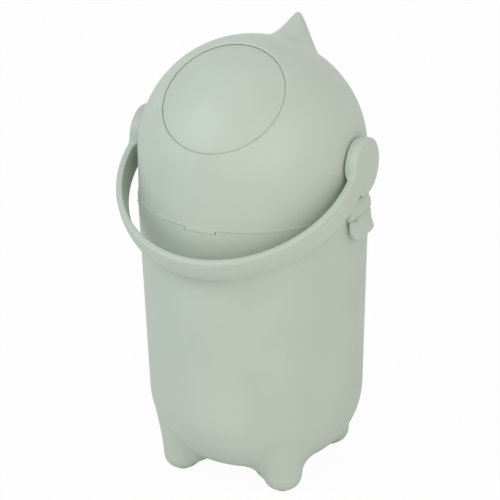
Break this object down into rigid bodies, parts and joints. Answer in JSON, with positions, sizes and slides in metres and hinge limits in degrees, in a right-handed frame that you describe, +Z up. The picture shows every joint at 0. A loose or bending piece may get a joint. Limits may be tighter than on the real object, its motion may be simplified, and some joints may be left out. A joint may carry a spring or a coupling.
{
  "type": "nappy bin",
  "caption": "Round nappy bin on stub feet, with a domed head, a sprung push flap, a swinging carrying handle and side latches.",
  "frame": {"origin": "on the floor, in the middle between the four feet, on the bucket's own axis", "axes": "+Z up; the front, with the push flap, the tab and the resting handle, faces -Y; +X is the bin's own left side, which is on the right of someone who stands in front of it"},
  "size_m": [0.2736, 0.2812, 0.4969],
  "materials": {
    "sage_plastic": "fine satin moulding, pale sage green",
    "inner_plastic": "satin moulding, a little darker sage green",
    "seal_rubber": "matte soft rubber",
    "grip_rubber": "matte soft rubber in the colour of the bucket",
    "steel": "bright plated steel"
  },
  "bodies": {
    "bucket": {"body_shell": "sage_plastic", "foot_pads": "grip_rubber", "bag_ring": "inner_plastic"},
    "head": {"dome_cover": "sage_plastic", "head_base": "sage_plastic", "base_screws": "steel", "head_gasket": "seal_rubber", "flap_frame": "inner_plastic", "frame_screws": "steel", "flap_hinge_pin": "steel", "flap_springs": "steel", "latch_pin_right": "steel", "latch_pin_left": "steel"},
    "flap": {"push_flap": "sage_plastic", "flap_backing": "inner_plastic", "flap_gasket": "seal_rubber", "flap_screws": "steel"},
    "carrier": {"handle": "sage_plastic", "pivot_washers": "steel", "pivot_screws": "steel"},
    "right_latch": {"latch_lever_right": "sage_plastic"},
    "left_latch": {"latch_lever_left": "sage_plastic"}
  },
  "joints": [
    {"name": "head_lift", "type": "slide", "parent": "bucket", "child": "head", "axis": [0, 0, 1], "range_m": [0, 0.08]},
    {"name": "flap_swing", "type": "hinge", "parent": "head", "child": "flap", "pos_m": [0, 0.00819, 0.48193], "axis": [1, 0, 0], "range_deg": [0, 65], "stiffness_Nm_per_rad": 0.06, "springref_deg": -80.21},
    {"name": "handle_swing", "type": "hinge", "parent": "head", "child": "carrier", "pos_m": [0, 0, 0.3719], "axis": [-1, 0, 0], "range_deg": [0, 150]},
    {"name": "latch_right_open", "type": "hinge", "parent": "head", "child": "right_latch", "pos_m": [0.1304, 0, 0.3156], "axis": [0, -1, 0], "range_deg": [0, 80]},
    {"name": "latch_left_open", "type": "hinge", "parent": "head", "child": "left_latch", "pos_m": [-0.1304, 0, 0.3156], "axis": [0, 1, 0], "range_deg": [0, 80]}
  ]
}
